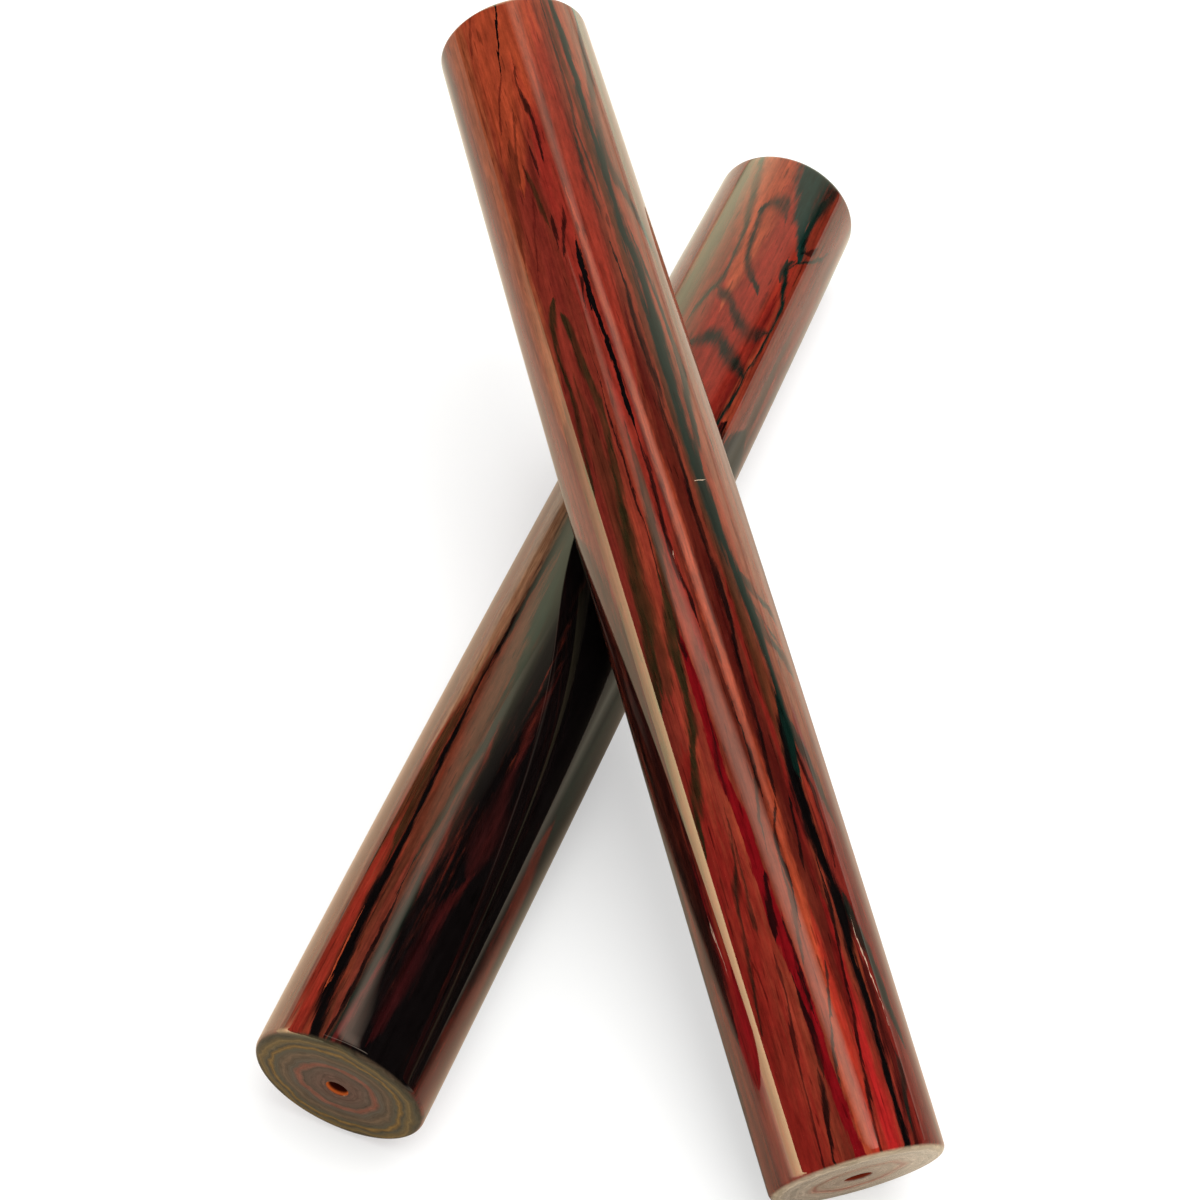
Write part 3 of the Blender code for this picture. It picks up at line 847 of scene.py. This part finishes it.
MIRRORED_EVEN = (
    (0, 0, 0, 0, 0, 0, 0.1, 0.3, 0.3, 0.3, 0, 0, 0),
    (0, 0, 0, 0, 0, 0, 0.1, 0.3, 0.3, 0.3, 0, 0, 0),
    (0, 0, 0, 0, 0.1, 0.2, 0.4, 0.6, 0.4, 0.4, 0, 0, 0),
    (0, 0, 0.3, 0.6, 1, 1, 1, 1, 1, 0.8, 0.5, 0, 0),
    (0.5, 0.5, 0.6, 1, 1, 1, 1, 1, 1, 1, 1, 1, 1),
    (0.6, 0.6, 0.6, 1, 1, 1, 1, 1, 1, 1, 1, 1, 1),
)


def build_floor():
    edges = (-FLOOR_REACH, FLOOR_REACH)
    corners = [(x, y, -FLOOR_DROP) for y in edges for x in edges]
    material = floor_material("floor", FLOOR_GLOW)
    floor = painted_sheet("floor", corners, 2, np.array([FLOOR_COLOUR] * 4), material)
    floor.visible_glossy = False
    points = [(x, y, -MIRRORED_DROP) for y in MIRRORED_ROWS for x in MIRRORED_COLUMNS]
    bright, even = [np.array(table).reshape(-1, 1) for table in (MIRRORED_BRIGHT, MIRRORED_EVEN)]
    colours = bright * (np.array(MIRRORED_WARM) * (1 - even) + np.array(MIRRORED_NEUTRAL) * even)
    material = floor_material("floor_in_lacquer", 0.0)
    show_in_lacquer_only(painted_sheet("floor_in_lacquer", points, len(MIRRORED_COLUMNS), colours, material))


def glow_material():
    """Gives light in the sheet's own colour at each point, and lets light through."""
    shader = Shader("reflector_glow")
    emission = shader.node("Emission")
    coat = shader.node("VertexColor", layer_name="paint")
    shader.feed(emission.inputs["Color"], coat.outputs["Color"])
    added = shader.node("AddShader")
    shader.feed(added.inputs[0], emission.outputs[0])
    shader.feed(added.inputs[1], shader.node("BsdfTransparent").outputs[0])
    shader.feed(shader.tree.nodes["Material Output"].inputs["Surface"], added.outputs[0])
    return shader.material


REFLECTOR_ROWS = 17
REFLECTOR_COLUMNS = 33


def evenly(values, count):
    """Values drawn out to `count` of them, evenly spaced."""
    return np.interp(np.linspace(0, 1, count), np.linspace(0, 1, len(values)), values)


def reflector(name, first_edge, second_edge, across, along, tint):
    """A glowing sheet that only the lacquer sees. Its two edges have a point for each other, `across` is
    how bright it is from the first edge to the second, and `along` from the edges' starts to their ends."""
    edges = [
        np.stack([evenly(axis, REFLECTOR_COLUMNS) for axis in np.array(edge, float).T], 1)
        for edge in (first_edge, second_edge)
    ]
    share = np.linspace(0, 1, REFLECTOR_ROWS)[:, None, None]
    points = (edges[0] * (1 - share) + edges[1] * share).reshape(-1, 3).tolist()
    shine = np.outer(evenly(across, REFLECTOR_ROWS), evenly(along, REFLECTOR_COLUMNS)).reshape(-1, 1)
    show_in_lacquer_only(painted_sheet(name, points, REFLECTOR_COLUMNS, shine * np.array(tint), GLOW))


def softbox(name, centre, side, radiance):
    """A square soft light aimed at the claves, which the lacquer doesn't mirror."""
    light = bpy.data.lights.new(name, "AREA")
    light.size = side
    light.energy = radiance * pi * side * side
    box = place(name, light)
    box.location = centre
    box.rotation_euler = (-Vector(centre)).to_track_quat("-Z", "Y").to_euler()
    box.visible_camera = box.visible_glossy = False


CEILING = 0.6
LEFT_X = -0.236
LEFT_HEIGHT = 0.0685
ABOVE_FLOOR = 0.0005

# The left edge that both back reflectors share, from the room's middle to where it meets the floor.
FAR_LEFT = ((-0.8, 1.1), (-1.1, 1.6), (-1.7, 2.6), (-2.6, 4.0), (-8.5, 13.0))


def ceiling(lift, *points):
    return [(x, y, CEILING + lift) for x, y in points]


def down_to_floor(edge):
    """An edge that also drops from its last point to the floor."""
    return edge + [(edge[-1][0], edge[-1][1], 0.0)]


def build_light():
    world = bpy.data.worlds.new("studio")
    bpy.context.scene.world = world
    world.use_nodes = True
    world.node_tree.nodes["Background"].inputs["Color"].default_value = (1, 1, 1, 1)
    world.cycles_visibility.glossy = False
    softbox("key", centre=(0.5, 0.1, 1.6), side=1.4, radiance=3.6)
    reflector(
        "low_left",
        [(LEFT_X, -0.33, 0.0), (LEFT_X, 0.1, 0.0)],
        [(LEFT_X, -0.33, LEFT_HEIGHT), (LEFT_X, 0.1, LEFT_HEIGHT)],
        across=(4, 5.5, 8, 10.5),
        along=(1, 1, 1, 0.9, 0.5, 0),
        tint=(1.0, 0.84, 0.46),
    )
    reflector(
        "low_left_floor",
        [(-0.24, -0.33, ABOVE_FLOOR), (-0.24, 0.07, ABOVE_FLOOR)],
        [(-0.06, -0.33, ABOVE_FLOOR), (-0.06, 0.07, ABOVE_FLOOR)],
        across=(3.4, 3.0, 2.0, 0),
        along=(0.6, 1, 1, 1, 1, 1, 0.3, 0.3, 0.3, 0.3, 0),
        tint=(1.0, 0.82, 0.55),
    )
    near_edge = [(0.29, -0.202), (0.013, -0.112), (-0.172, -0.058), (-0.27, -0.025), (-0.305, 0.02)]
    far_edge = [(0.29, -0.055), (0.147, -0.004), (-0.02, 0.03), (-0.137, 0.054), (-0.168, 0.095)]
    reflector(
        "overhead_near",
        ceiling(0, *near_edge, (-0.312, 0.068), (-0.3, 0.14)),
        ceiling(0, *far_edge, (-0.236, 0.128), (-0.29, 0.145)),
        across=(0.2, 1.6, 2.6, 2.8, 2.6, 1.6, 0.1),
        along=(1.2, 1.1, 0.9, 0.7, 0.4, 0.45, 0.3),
        tint=(1, 0.8, 0.64),
    )
    left_edge = [(0.109, 0.02), (0.056, 0.05), (-0.044, 0.112), (-0.114, 0.185), (-0.17, 0.29), (-0.2, 0.4)]
    right_edge = [(0.25, 0.02), (0.2, 0.12), (0.095, 0.16), (0.01, 0.22), (0.01, 0.33), (0.03, 0.42)]
    reflector(
        "overhead_far",
        ceiling(0.002, *left_edge),
        ceiling(0.002, *right_edge),
        across=(0, 1.2, 2.5, 2.8, 2.5, 1.2, 0),
        along=(0.1, 0.8, 1, 0.8, 0.5, 0.2),
        tint=(1, 0.74, 0.58),
    )
    back_right = [(0.2, 0.22), (0.45, 0.32), (0.75, 0.46), (1.1, 0.7), (1.6, 1.05), (2.4, 1.55), (4.0, 2.5)]
    reflector(
        "back",
        down_to_floor(ceiling(0.004, (-0.06, 0.19), (-0.2, 0.32), (-0.4, 0.53), (-0.58, 0.76), *FAR_LEFT)),
        down_to_floor(ceiling(0.004, *back_right, (6.0, 4.0), (20.0, 13.0))),
        across=(0, 0.9, 1, 1, 1, 1, 1, 0.9, 0.8, 0.5, 0),
        along=(0, 0.3, 0.8, 1.1, 1.4, 1.7, 1.9, 2.0, 1.5, 1.1),
        tint=(1, 0.86, 0.64),
    )
    back_middle = [(0.1, 0.21), (0.1, 0.3), (0.08, 0.45), (0.05, 0.7), (0.0, 1.1), (0.0, 1.6), (0.0, 2.6)]
    reflector(
        "back_left",
        down_to_floor(ceiling(0.006, (-0.06, 0.21), (-0.22, 0.34), (-0.42, 0.55), (-0.6, 0.78), *FAR_LEFT)),
        down_to_floor(ceiling(0.006, *back_middle, (0.0, 4.0), (0.0, 13.0))),
        across=(0, 0.8, 1, 0.8, 0),
        along=(0, 0.3, 0.8, 0.85, 0.95, 1.4, 1.8, 1.7, 1.3, 1.2),
        tint=(0.84, 0.95, 0.54),
    )
    reflector(
        "far_floor",
        [(0.02, 0.06, ABOVE_FLOOR), (0.02, 0.45, ABOVE_FLOOR)],
        [(0.3, 0.06, ABOVE_FLOOR), (0.3, 0.45, ABOVE_FLOOR)],
        across=(0, 0.8, 1, 1, 0.8, 0),
        along=(0, 0.3, 0.5, 0.8, 1, 0.8),
        tint=(0.4, 1.0, 0.7),
    )


CAMERA_PLACE = (0.0050, -0.2565, 0.3335)
CAMERA_VIEW = (-0.0223, 0.6286, -0.7774)
CAMERA_UP = (-0.0479, 0.776, 0.6289)
CAMERA_LENS = 74.35


def build_camera():
    camera = place("camera", bpy.data.cameras.new("camera"))
    camera.data.lens = CAMERA_LENS
    camera.data.sensor_width = 36
    camera.data.clip_start = 0.01
    camera.data.clip_end = 100
    back = -Vector(CAMERA_VIEW).normalized()
    right = Vector(CAMERA_UP).cross(back).normalized()
    turn = Matrix((right, back.cross(right), back)).transposed().to_4x4()
    camera.matrix_world = Matrix.Translation(CAMERA_PLACE) @ turn
    bpy.context.scene.camera = camera


GLOW = glow_material()
build_camera()
build_floor()
build_light()
build_rod("striker_clave", "striker_far_end", "striker", "striker_wood", STRIKER_LOOK)
build_rod("resonator_clave", "resonator_far_end", "resonator", "resonator_wood", RESONATOR_LOOK)
bpy.context.scene.view_settings.view_transform = "Standard"
